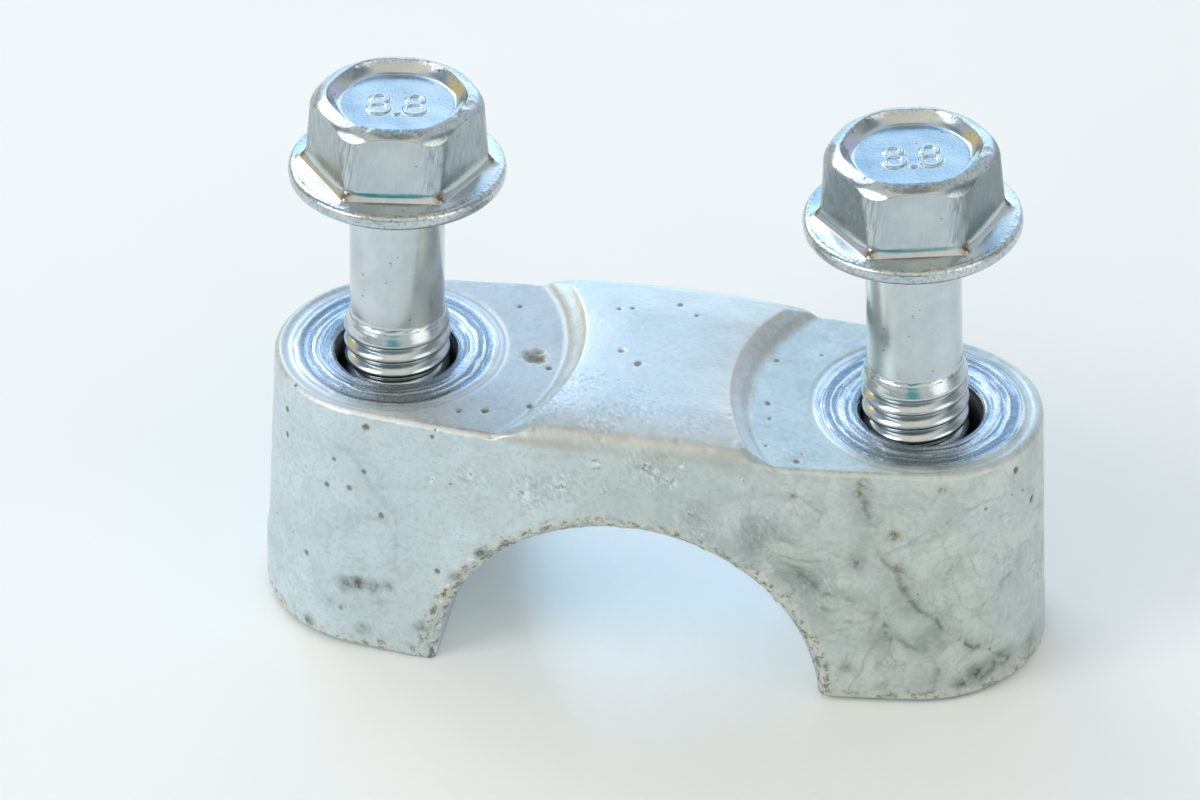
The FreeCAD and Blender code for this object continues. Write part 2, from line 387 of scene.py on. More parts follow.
def cast_depth(places, normals):
    """How far each vertex of the casting moves along its normal."""
    radius, angle, side, pad_top = pad_place(places, normals)
    reach = from_seat(places)
    seat = 1.0 - smooth(0.02, 0.3, reach)
    bore = 1.0 - smooth(HOLE_RADIUS + 0.2, HOLE_RADIUS + 0.6, radius)
    spot = pad_top * (1.0 - smooth(SPOT_FACE_RADIUS - 0.2, SPOT_FACE_RADIUS + 0.3, radius))
    cast = (1.0 - np.maximum(bore, spot)) * (1.0 - 0.7 * seat)
    rim, band = rim_masks(places, normals)
    depth = np.zeros(len(places))
    for height, size, seed in CAST_WAVES:
        depth += cast * height * value_noise(places, size, seed)
    rough = np.zeros(len(places))
    for height, size, seed in RIM_WAVES:
        rough += height * value_noise(places, size, seed)
    depth += np.maximum(rim, 0.7 * band) * (rough - RIM_SINK)
    from_arc = from_arc_centre(places)
    low = 1.0 - above_pad(places, 0.5, 0.9)
    top = above_pad(places, -0.4, -0.1)
    depth -= FOOT_SHARPENING * low * top * np.exp(-(((from_arc - ARC_FOOT) / FOOT_WIDTH) ** 2))
    depth -= spot * scoring(radius, angle, side)
    ends = smooth(BOLT_OFFSET + 3.0, BOLT_OFFSET + 6.5, -places[:, 0])
    ends += 0.5 * smooth(BOLT_OFFSET + 3.0, BOLT_OFFSET + 6.5, places[:, 0])
    line = PARTING_HEIGHT + PARTING_WANDER * value_noise(places, 4.0, 6)
    lower = 1.0 - smooth(-0.25, 0.15, places[:, 2] - line)
    depth += PARTING_JOG * ends * lower * smooth(1.0, 4.0, places[:, 2])
    return depth, cast


def hump_drop(places):
    """How far the worn edges of the hump sink."""
    from_arc = from_arc_centre(places)
    edge = HUMP_EDGE_WEAR * smooth(5.0, 11.5, np.abs(places[:, 1]))
    edge *= above_pad(places, -2.0, 1.4) * smooth(ARC_FOOT, ARC_TOP, from_arc)
    side = HUMP_SIDE_WEAR * np.clip(1.0 - (from_arc - ARC_TOP) / HUMP_SIDE_REACH, 0.0, 1.0) ** 2
    return edge + side * above_pad(places, 0.1, 1.4)


def pit_list(places, cast):
    """Every pit as centre, radius and depth: those in the photograph, then seeded ones all over."""
    pits = [(on_cap((x, y)), radius, depth) for x, y, radius, depth in PITS]
    draws = np.random.default_rng(SEED + 20)
    chosen = draws.choice(len(places), RANDOM_PITS, replace=False)
    for index in chosen:
        radius = RANDOM_PIT_RADIUS[0] + RANDOM_PIT_RADIUS[1] * draws.random() ** 2
        if cast[index] > 0.9:
            pits.append((places[index], radius, radius * draws.uniform(*RANDOM_PIT_DEPTH)))
    return pits


def cap_mesh():
    """The casting with its texture and pits as real shape, in millimetres, and the list of its pits."""
    mesh = even_cap_mesh()
    places, normals = vertex_arrays(mesh)
    depth, cast = cast_depth(places, normals)
    tree = vertex_tree(places)
    pits = pit_list(places, cast)
    for centre, radius, pit_depth in pits:
        index, hollow = dent(places, tree, centre, radius)
        depth[index] -= PIT_SOFTENING * pit_depth * hollow
    for x, y, radius in CHIPS:
        centre = on_cap((x, y))
        index, hollow = dent(places, tree, centre, radius)
        across = (places[index] - centre) @ np.array(RIGHT) / radius
        depth[index] += CHIP_RELIEF * hollow * across
    low, high = (np.array(corner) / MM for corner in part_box("clamp_cap"))
    moved = places + normals * depth[:, None]
    moved[:, 2] -= hump_drop(places)
    places = np.clip(moved, low, high)
    mesh.vertices.foreach_set("co", places.astype(np.float32).ravel())
    mesh.update()
    work = new_object("cap_work", mesh)
    thin = work.modifiers.new("thin", "DECIMATE")
    thin.ratio = CAP_TRIANGLES / sum(len(p.vertices) - 2 for p in mesh.polygons)
    return modified_mesh(work, "cast_cap"), pits


def polyline_distance(points, line):
    """Distance of points to a polyline."""
    nearest = np.full(len(points), np.inf)
    for start, end in zip(line[:-1], line[1:]):
        along = end - start
        share = np.clip((points - start) @ along / (along @ along), 0.0, 1.0)
        nearest = np.minimum(nearest, np.linalg.norm(points - start - share[:, None] * along, axis=1))
    return nearest


def colour_layer(mesh, name, values):
    """Writes four numbers a vertex to a colour layer that a material reads."""
    layer = mesh.color_attributes.new(name, "FLOAT_COLOR", "POINT")
    layer.data.foreach_set("color", values.astype(np.float32).ravel())


def spotted(places, spots):
    """Largest strength over round spots given as pixel, radius and strength, fading to their edges."""
    total = np.zeros(len(places))
    for x, y, radius, strength in spots:
        gap = np.linalg.norm(places - on_cap((x, y)), axis=1)
        total = np.maximum(total, strength * (1.0 - smooth(0.25, 1.15, gap / radius)))
    return total


def mark_cap(mesh, pits):
    """Writes where the casting is pitted, worn, veined, rusty, stained or scuffed, and where a tan
    reflection is painted along the hump's front edge.
    """
    places, normals = vertex_arrays(mesh)
    tree = vertex_tree(places)
    marks = np.zeros((len(places), 4))
    for centre, radius, _ in pits:
        index, hollow = dent(places, tree, centre, radius)
        marks[index, 0] = np.maximum(marks[index, 0], hollow)
    rim, band = rim_masks(places, normals)
    marks[:, 1] = np.maximum(rim, 0.8 * band)
    shift = VEIN_WANDER * np.stack([value_noise(places, 1.4, 30 + axis) for axis in range(3)], axis=1)
    for strength, pixels in VEINS:
        gap = polyline_distance(places + shift, [on_cap(pixel) for pixel in pixels])
        reach = gap / VEIN_HALF_WIDTH
        core = 1.0 - smooth(0.2, 1.0, reach)
        haze = 1.0 - smooth(0.5, 8.0, reach)
        vein = strength * (0.75 * core + 0.25 * haze)
        marks[:, 2] = np.maximum(marks[:, 2], vein)
    marks[:, 3] = spotted(places, [(x, y, radius * RUST_SPREAD, 1.0) for x, y, radius in RUST_SPOTS])
    colour_layer(mesh, "marks", marks)
    wear_and_reflection = np.zeros((len(places), 4))
    wear_and_reflection[:, 0] = spotted(places, STAINS)
    wear_and_reflection[:, 1] = spotted(places, SCUFFS)
    # Painted reflection: a tan band along the hump's front edge, for the warm pale room that its rounding
    # reflects.
    painted_tan_reflection = above_pad(places, -0.7, 0.6) * smooth(5.6, 9.4, -places[:, 1])
    low = 1.0 - above_pad(places, 0.2, 0.6)
    pad = smooth(0.8, 0.95, normals[:, 2]) * low
    from_arc = from_arc_centre(places)
    wear_and_reflection[:, 2] = painted_tan_reflection * (1.0 - pad) * smooth(ARC_TOP - 0.6, ARC_TOP + 0.4, from_arc)
    wear_and_reflection[:, 3] = spotted(places, [(x, y, radius * CHIP_SPREAD, 1.0) for x, y, radius in CHIPS])
    colour_layer(mesh, "wear_and_reflection", wear_and_reflection)


# Flange bolt, with the flange's bearing face at height zero; sizes in millimetres
THREAD_RADIUS = 3.925
THREAD_DEPTH = 0.60
THREAD_PITCH = 1.25
THREAD_TOP = -11.5
ROOT_SHARPNESS = 1.7
ROWS_PER_PITCH = 18
SHAFT_SEGMENTS = 112
RUNOUT = 1.05
SHANK_RADIUS = 3.475
BOLT_LENGTH = 35.0
TIP_CHAMFER = 0.9
TIP_RINGS = (2.2, 1.2, 0.3)
UNDERHEAD_FILLET = 0.5
FLANGE_RADIUS = 7.95
FLANGE_RIM = 1.2
FLANGE_ROUND = 0.48
FLANGE_STEPS = (0.04, 0.12, 0.3, 0.5, 0.7, 0.9, 1.0)
HEX_SECTOR = math.pi / 3
HEX_APOTHEM = 5.875
HEX_CORNER = 0.3
FOOT_SPREAD = 0.34
FOOT_FILLET = 0.15
FOOT_LOW = 1.41
FOOT_HIGH = 1.68
FOOT_TOP = 2.45
FOOT_TOP_DROP = 0.55
FOOT_RISES = (0.85, 0.7, 0.55, 0.4, 0.25, 0.12, 0.0)
HEAD_HEIGHT = 6.9
RIM_RADIUS = 4.92
RIM_CORNERING = 0.20
SHOULDER = 1.24
SHOULDER_HEIGHT = HEAD_HEIGHT - SHOULDER
SHOULDER_FLATTENING = 0.45
EDGE_SOFTNESS = 0.12
CORNER_DRAFT = 0.5
DISH_RADIUS = 4.15
DISH_DEPTH = 0.9
DISH_STEEPENING = 1.5
NUMERAL_RISE = 0.12
NUMERAL_CENTRES = (-1.30, 1.30)
NUMERAL_RINGS = ((-0.72, 0.70), (0.62, 0.56))
DOT_DROP = 1.30
DOT_RADIUS = 0.10
STROKE = 0.20
TIP_GAP = 0.2
# How deep the plating is dented all over the head, on its rim, on the flange's edge and on the faces
HEAD_DENTS = 0.02
RIM_DENTS = 0.06
EDGE_DENTS = 0.03
FACE_DENTS = 0.012

# How each bolt stands: side, sole height, turn, lean and the bearing that it leans to, in degrees
STANDING = {
    "left_flange_bolt": (-1.0, 0.0, 8.5, 2.876, 94.0),
    "right_flange_bolt": (1.0, SHORT_LEG_STEP, 12.5, 3.02, 152.0),
}
# How much painted shade darkens the right face of each head
RIGHT_FACE_SHADE = {"left_flange_bolt": 0.0, "right_flange_bolt": 1.3}


def hexagon_radius(angle, apothem):
    """Radius of a hexagon with rounded corners and a flat to -Y, and 0 at mid flat to 1 at a corner."""
    half = HEX_SECTOR / 2
    from_flat = np.abs((angle + math.pi / 2 + half) % HEX_SECTOR - half)
    inner = apothem - HEX_CORNER
    flat_end = math.atan(inner * math.tan(half) / apothem)
    corner_reach = inner / math.cos(half)
    beside = half - from_flat
    rounded = HEX_CORNER ** 2 - (corner_reach * np.sin(beside)) ** 2
    arc = corner_reach * np.cos(beside) + np.sqrt(np.maximum(rounded, 0.0))
    return np.where(from_flat <= flat_end, apothem / np.cos(from_flat), arc), from_flat / half


def head_angles():
    """Angles round the head, closer together at the hexagon's corners."""
    steps = np.concatenate([np.linspace(0.0, 0.66, 13), np.linspace(0.68, 1.0, 18)])
    half = steps * math.pi / 6
    sector = np.concatenate([-half[:0:-1], half[:-1]])
    return np.concatenate([sector + side * math.pi / 3 - math.pi / 2 for side in range(6)])


def numeral_height(across, along):
    """Raised plain numerals on the dish floor, drawn as rings and a dot."""
    nearest = np.full(across.shape, np.inf)
    for centre in NUMERAL_CENTRES:
        for height, radius in NUMERAL_RINGS:
            ring = np.abs(np.hypot(across - centre, along - height) - radius)
            nearest = np.minimum(nearest, ring)
    dot = np.hypot(across, along + DOT_DROP) - DOT_RADIUS
    nearest = np.minimum(nearest, np.maximum(dot, 0.0))
    return NUMERAL_RISE * (1.0 - smooth(0.5 * STROKE, 1.3 * STROKE, nearest))


def soft_min(first, second):
    """Smaller of two radii, with the edge where they meet rounded off."""
    return 0.5 * (first + second - np.hypot(first - second, EDGE_SOFTNESS))


def rim_radius(share):
    """Radius of the head's rim, which is a little larger at the hexagon's corners."""
    return RIM_RADIUS + RIM_CORNERING * np.sin(0.5 * math.pi * share) ** 2


def dish_rows(angle):
    """Rings of the dished top, from its middle to the rim, which follows the hexagon a little."""
    level = np.ones_like(angle)
    floor = HEAD_HEIGHT - DISH_DEPTH
    rim = rim_radius(hexagon_radius(angle, HEX_APOTHEM)[1])
    rows = []
    for radius in np.linspace(0.05, DISH_RADIUS, 64):
        numerals = numeral_height(radius * np.cos(angle), radius * np.sin(angle))
        rows.append((radius * level, floor + numerals))
    for step in np.linspace(0.0, 1.0, 14)[1:]:
        height = floor + DISH_DEPTH * step ** DISH_STEEPENING
        rows.append((DISH_RADIUS + (rim - DISH_RADIUS) * step, height * level))
    return rows


def side_rows(angle):
    """Rings of the rounded shoulder and of the hexagon's sides, whose corners taper towards the top."""
    hexagon, share = hexagon_radius(angle, HEX_APOTHEM)
    rim = rim_radius(share)
    side = rim + SHOULDER
    last_turn = np.arccos(np.clip((soft_min(hexagon, side) - rim) / SHOULDER, 0.0, 1.0))
    rows = []
    for step in np.linspace(0.08, 1.0, 14):
        turn = math.pi / 2 + (last_turn - math.pi / 2) * step
        out = mix(np.cos(turn), step * np.cos(last_turn), SHOULDER_FLATTENING)
        rise = mix(np.sin(turn), 1.0 + step * (np.sin(last_turn) - 1.0), SHOULDER_FLATTENING)
        rows.append((rim + SHOULDER * out, SHOULDER_HEIGHT + SHOULDER * rise))
    shoulder = rows[-1][1]
    foot = FOOT_TOP - FOOT_TOP_DROP * share ** 2
    for step in np.concatenate([[0.012, 0.03, 0.06], np.linspace(0.1, 1.0, 18)]):
        height = shoulder + (foot - shoulder) * step
        cone = side + CORNER_DRAFT * (1.0 - height / SHOULDER_HEIGHT)
        rows.append((soft_min(hexagon, cone), height))
    for rise in FOOT_RISES:
        out = FOOT_FILLET * (1.0 - rise) ** 2
        rows.append((hexagon_radius(angle, HEX_APOTHEM + out)[0], FOOT_HIGH + (foot - FOOT_HIGH) * rise))
    return rows


def flange_rows(angle):
    """Rings of the spread foot and the flange, down to its bearing face."""
    level = np.ones_like(angle)
    rows = []
    for step in np.linspace(0.12, 1.0, 5):
        out = FOOT_FILLET + (FOOT_SPREAD - FOOT_FILLET) * step
        height = FOOT_HIGH + (FOOT_LOW - FOOT_HIGH) * step
        rows.append((hexagon_radius(angle, HEX_APOTHEM + out)[0], height * level))
    inner = rows[-1][0]
    edge = FLANGE_RADIUS - FLANGE_ROUND
    for step in FLANGE_STEPS:
        rows.append((inner + (edge - inner) * step, (FOOT_LOW + (FLANGE_RIM - FOOT_LOW) * step) * level))
    for turn in np.linspace(10.0, 90.0, 9):
        tilt = math.radians(turn)
        height = FLANGE_RIM - FLANGE_ROUND * (1.0 - math.cos(tilt))
        rows.append(((edge + FLANGE_ROUND * math.sin(tilt)) * level, height * level))
    for turn in np.linspace(0.0, 90.0, 8):
        tilt = math.radians(turn)
        height = FLANGE_ROUND * (1.0 - math.sin(tilt))
        rows.append(((edge + FLANGE_ROUND * math.cos(tilt)) * level, height * level))
    rows.append((0.8 * FLANGE_RADIUS * level, 0.0 * level))
    return rows


def thread_height(phase):
    """Height over the root of a rolled thread, with a rounded crest at mid pitch and a sharp root."""
    from_crest = np.abs(2.0 * (phase % 1.0) - 1.0)
    return THREAD_DEPTH * (1.0 - from_crest ** ROOT_SHARPNESS)


def shaft_rows(angle):
    """Rings from the underhead fillet to the tip, and the ring that each one runs into after a turn."""
    level = np.ones_like(angle)
    rows = []
    for turn in np.linspace(0.0, 90.0, 6):
        tilt = math.radians(turn)
        radius = SHANK_RADIUS + UNDERHEAD_FILLET * (1.0 - math.sin(tilt))
        rows.append((radius * level, -UNDERHEAD_FILLET * (1.0 - math.cos(tilt)) * level))
    for height in np.linspace(-UNDERHEAD_FILLET - 0.3, THREAD_TOP, 24):
        rows.append((SHANK_RADIUS * level, height * level))
    plain = len(rows)
    turns = int((BOLT_LENGTH + THREAD_TOP) / THREAD_PITCH) + 2
    helix = angle / (2.0 * math.pi)
    for step in range(1, turns * ROWS_PER_PITCH):
        phase = step / ROWS_PER_PITCH
        height = np.clip(THREAD_TOP - THREAD_PITCH * (phase - helix), -BOLT_LENGTH, THREAD_TOP)
        below = THREAD_TOP - height
        crest = SHANK_RADIUS + (THREAD_RADIUS - SHANK_RADIUS) * smooth(-0.3 * RUNOUT, RUNOUT, below)
        crest = np.where(below > 0.0, crest, SHANK_RADIUS)
        cut = smooth(0.35 * RUNOUT, 1.7 * RUNOUT, below)
        groove = (THREAD_DEPTH - thread_height(phase * level)) * cut
        tip = THREAD_RADIUS - TIP_CHAMFER + np.maximum(height + BOLT_LENGTH, 0.0)
        rows.append((np.minimum(crest - groove, tip), height))
    threaded = len(rows)
    for radius in TIP_RINGS:
        rows.append((radius * level, -BOLT_LENGTH * level))
    joins = np.arange(len(rows))
    joins[plain:threaded] = np.maximum(joins[plain:threaded] - ROWS_PER_PITCH, plain - 1)
    return rows, joins


def grid_rings(mesh, rows, angle, joins=None):
    """Adds rings of vertices to a mesh and joins neighbours with faces; returns the rings."""
    rings = []
    for radius, height in rows:
        ring = [
            mesh.verts.new((r * math.cos(a), r * math.sin(a), h))
            for r, a, h in zip(radius, angle, height)
        ]
        rings.append(ring)
    if joins is None:
        joins = range(len(rings))
    closed = [ring + [rings[join][0]] for ring, join in zip(rings, joins)]
    for upper, lower in zip(closed[:-1], closed[1:]):
        for index in range(len(angle)):
            corners = (upper[index], lower[index], lower[index + 1], upper[index + 1])
            distinct = list(dict.fromkeys(corners))
            if len(distinct) > 2:
                mesh.faces.new(distinct)
    return rings


def ring_edges(ring):
    """Edges round a ring of vertices."""
    joined = []
    for start, end in zip(ring, ring[1:] + ring[:1]):
        joined += [edge for edge in start.link_edges if edge.other_vert(start) is end]
    return joined


def bolt_mesh(name):
    """The bolt as one closed mesh in its own axes, in millimetres."""
    mesh = bmesh.new()
    angle = head_angles()
    head = grid_rings(mesh, dish_rows(angle) + side_rows(angle) + flange_rows(angle), angle)
    shaft_angle = np.linspace(0.0, 2.0 * math.pi, SHAFT_SEGMENTS, endpoint=False)
    shaft_grid, shaft_joins = shaft_rows(shaft_angle)
    shaft = grid_rings(mesh, shaft_grid, shaft_angle, shaft_joins)
    mesh.faces.new(head[0])
    mesh.faces.new(reversed(shaft[-1]))
    loops = [edge for ring in (head[-1], shaft[0]) for edge in ring_edges(ring)]
    bmesh.ops.bridge_loops(mesh, edges=loops)
    bmesh.ops.remove_doubles(mesh, verts=mesh.verts, dist=WELD_GAP)
    bmesh.ops.dissolve_degenerate(mesh, edges=mesh.edges, dist=WELD_GAP)
    bmesh.ops.recalc_face_normals(mesh, faces=mesh.faces)
    for face in mesh.faces:
        face.smooth = True
    data = bpy.data.meshes.new(name)
    mesh.to_mesh(data)
    mesh.free()
    return data


def wear_bolt(mesh, seed, right_face_shade):
    """Dents the head a little and writes its own place, rust, faces with painted shade on their sides, and
    corners for the material.
    """
    places, normals = vertex_arrays(mesh)
    layer = mesh.attributes.new("own_place", "FLOAT_VECTOR", "POINT")
    layer.data.foreach_set("vector", places.astype(np.float32).ravel())
    radius = np.hypot(places[:, 0], places[:, 1])
    share = hexagon_radius(np.arctan2(places[:, 1], places[:, 0]), HEX_APOTHEM)[1]
    height = places[:, 2]
    faces = smooth(1.9, 2.3, height) * (1.0 - smooth(6.2, 6.6, height)) * smooth(5.6, 5.8, radius)
    rust = smooth(0.82, 0.97, share) * (1.0 - smooth(0.1, 0.65, np.abs(height - 1.75)))
    rust *= smooth(5.9, 6.2, radius) * (1.0 - smooth(6.95, 7.15, radius))
    rim = smooth(4.5, 4.8, radius) * smooth(HEAD_HEIGHT - 0.5, HEAD_HEIGHT - 0.1, height)
    edge = smooth(7.2, 7.5, radius) * smooth(0.05, 0.3, height)
    turned = places[:, 0] / np.maximum(radius, 0.1)
    # Painted shade: faces turned sideways, and the right face by the amount given, get more of the dark
    # streaks.
    side_face_shade = 0.3 + 0.7 * smooth(0.35, 0.7, np.abs(turned)) + right_face_shade * smooth(0.35, 0.6, turned)
    corner = faces * smooth(0.62, 0.80, share)
    marks = np.stack([rust, faces * side_face_shade, corner, np.maximum(rim, edge)], axis=1)
    colour_layer(mesh, "marks", marks)
    rough = 0.5 + 0.5 * value_noise(places, 0.45, 60 + seed)
    broad = 0.5 + 0.5 * value_noise(places, 1.6, 62 + seed)
    head = smooth(0.1, 0.4, height)
    depth = head * HEAD_DENTS * broad + (RIM_DENTS * rim + EDGE_DENTS * edge) * rough
    depth += faces * FACE_DENTS * rough
    moved = places - normals * depth[:, None]
    mesh.vertices.foreach_set("co", moved.astype(np.float32).ravel())
    mesh.update()


def standing_matrix(side, sole, turn, lean, bearing):
    """Place of a bolt that leans in its hole about the middle of the hole's length, in millimetres."""
    upright = Matrix.Translation((0.0, 0.0, sole + TIP_GAP + BOLT_LENGTH))
    upright @= Matrix.Rotation(math.radians(turn), 4, "Z")
    toward = math.radians(bearing)
    tilt = Matrix.Rotation(math.radians(lean), 4, Vector((-math.sin(toward), math.cos(toward), 0.0)))
    pivot = Vector((0.0, 0.0, (sole + PAD_HEIGHT) / 2))
    leaned = Matrix.Translation(pivot) @ tilt @ Matrix.Translation(-pivot) @ upright
    return Matrix.Translation((side * BOLT_OFFSET, 0.0, 0.0)) @ leaned


# Materials


def add(tree, kind, inputs=None, **settings):
    """New shader node; inputs maps socket names or numbers to values or to other nodes' outputs."""
    made = tree.nodes.new("ShaderNode" + kind)
    for key, value in settings.items():
        setattr(made, key, value)
    for key, value in (inputs or {}).items():
        if isinstance(value, bpy.types.NodeSocket):
            tree.links.new(value, made.inputs[key])
        else:
            made.inputs[key].default_value = value
    return made


def math_node(tree, operation, *values):
    return add(tree, "Math", dict(enumerate(values)), operation=operation).outputs[0]


def vector_value(tree, operation, *vectors):
    """Number worked out from one or two vectors."""
    return add(tree, "VectorMath", dict(enumerate(vectors)), operation=operation).outputs["Value"]


def mixed(tree, factor, first, second):
    """Colour mix of two colours or outputs."""
    return add(tree, "Mix", {0: factor, 6: first, 7: second}, data_type="RGBA").outputs[2]


def coated(tree, colour, layers):
    """A colour with layers over it, each given as its share and its own colour."""
    for share, tint in layers:
        colour = mixed(tree, share, colour, tint)
    return colour


def roughened(tree, rough, changes):
    """A roughness with the changes that masks make to it."""
    for mask, change in changes:
        rough = math_node(tree, "ADD", rough, product(tree, mask, change))
    return rough


def bumped(tree, relief):
    """Normals of fine relief, given as strength, depth in metres and height."""
    normal = None
    for strength, distance, height in relief:
        sockets = {"Strength": strength, "Distance": distance, "Height": height}
        if normal is not None:
            sockets["Normal"] = normal
        normal = add(tree, "Bump", sockets).outputs[0]
    return normal


def ranged(tree, value, low, high, to_low=0.0, to_high=1.0):
    """Smooth remap of a value from low..high to to_low..to_high."""
    sockets = {"Value": value, "From Min": low, "From Max": high, "To Min": to_low, "To Max": to_high}
    return add(tree, "MapRange", sockets, interpolation_type="SMOOTHSTEP").outputs[0]


def noise(tree, place, scale, detail=3.0, roughness=0.55, distortion=0.0):
    shape = {"Scale": scale, "Detail": detail, "Roughness": roughness, "Distortion": distortion}
    return add(tree, "TexNoise", {"Vector": place, **shape}).outputs["Fac"]


def new_material(name):
    made = bpy.data.materials.new(name)
    made.use_nodes = True
    tree = made.node_tree
    tree.nodes.clear()
    shader = add(tree, "BsdfPrincipled")
    output = add(tree, "OutputMaterial")
    tree.links.new(shader.outputs[0], output.inputs["Surface"])
    return made, tree, shader


def millimetres(tree):
    """Place on the piece in its own axes, in millimetres."""
    place = add(tree, "TexCoord").outputs["Object"]
    return add(tree, "VectorMath", {0: place, "Scale": 1.0 / MM}, operation="SCALE").outputs[0]


def product(tree, *values):
    """Product of several values or outputs."""
    total = values[0]
    for value in values[1:]:
        total = math_node(tree, "MULTIPLY", total, value)
    return total


def broken(tree, mask, pattern, *limits):
    """A mask broken up by a pattern between limits."""
    return product(tree, mask, ranged(tree, pattern, *limits))


def layer_parts(tree, name):
    """The four numbers that a colour layer holds."""
    layer = add(tree, "Attribute", attribute_name=name)
    parts = add(tree, "SeparateColor", {0: layer.outputs["Color"]}).outputs
    return parts[0], parts[1], parts[2], layer.outputs["Alpha"]


def stretched_noise(tree, place, along, scale_along, scale_across):
    """Noise drawn out into hairs that run in one direction."""
    first = Vector(along).normalized()
    second = first.orthogonal().normalized()
    third = first.cross(second)
    sockets = {}
    axes = (("X", first, scale_along), ("Y", second, scale_across), ("Z", third, scale_across))
    for axis, direction, scale in axes:
        reach = vector_value(tree, "DOT_PRODUCT", place, direction)
        sockets[axis] = product(tree, reach, scale)
    return noise(tree, add(tree, "CombineXYZ", sockets).outputs[0], 1.0, 3.0, 0.6)


def pad_nodes(tree, place):
    """Masks of the scored pads, a painted highlight on the left pad's outer ring, painted shade in the bolt
    holes, and two ring patterns.
    """
    parts = add(tree, "SeparateXYZ", {0: place}).outputs
    side = math_node(tree, "SIGN", parts["X"])
    across = math_node(tree, "SUBTRACT", parts["X"], product(tree, side, BOLT_OFFSET))
    flat = add(tree, "CombineXYZ", {"X": across, "Y": parts["Y"]}).outputs[0]
    radius = vector_value(tree, "LENGTH", flat)
    drift = noise(tree, flat, 0.25, 2.0)
    line = math_node(tree, "ADD", radius, product(tree, drift, 0.6))
    inside = ranged(tree, line, SPOT_FACE_RADIUS - 1.0, SPOT_FACE_RADIUS + 0.5, 1.0, 0.0)
    high = ranged(tree, parts["Z"], PAD_HEIGHT - 0.65, PAD_HEIGHT - 0.35)
    low = ranged(tree, parts["Z"], PAD_HEIGHT + 0.1, PAD_HEIGHT + 0.35, 1.0, 0.0)
    scored = product(tree, inside, high, low)
    # Painted highlight: a white band on the left pad's outer ring, on the side towards the middle.
    outer = ranged(tree, radius, SPOT_FACE_RADIUS - 1.1, SPOT_FACE_RADIUS - 0.6)
    inward = ranged(tree, product(tree, across, side), 0.0, -6.0)
    ring_highlight = product(tree, scored, outer, ranged(tree, side, 0.0, -1.0), inward)
    # Painted shade: the walls of the bolt holes darken from just below the pads downwards.
    deep = ranged(tree, parts["Z"], PAD_HEIGHT - 0.4, PAD_HEIGHT - 2.4)
    bore = product(tree, ranged(tree, radius, HOLE_RADIUS + 0.12, HOLE_RADIUS + 0.02), deep)
    turned = product(tree, drift, 0.7)
    rings_at = add(tree, "CombineXYZ", {"X": line, "Y": side, "Z": turned}).outputs[0]
    fine = noise(tree, rings_at, 3.0, 3.0, 0.6)
    broad = noise(tree, rings_at, 1.1, 1.0, 0.5)
    return scored, ring_highlight, bore, fine, broad


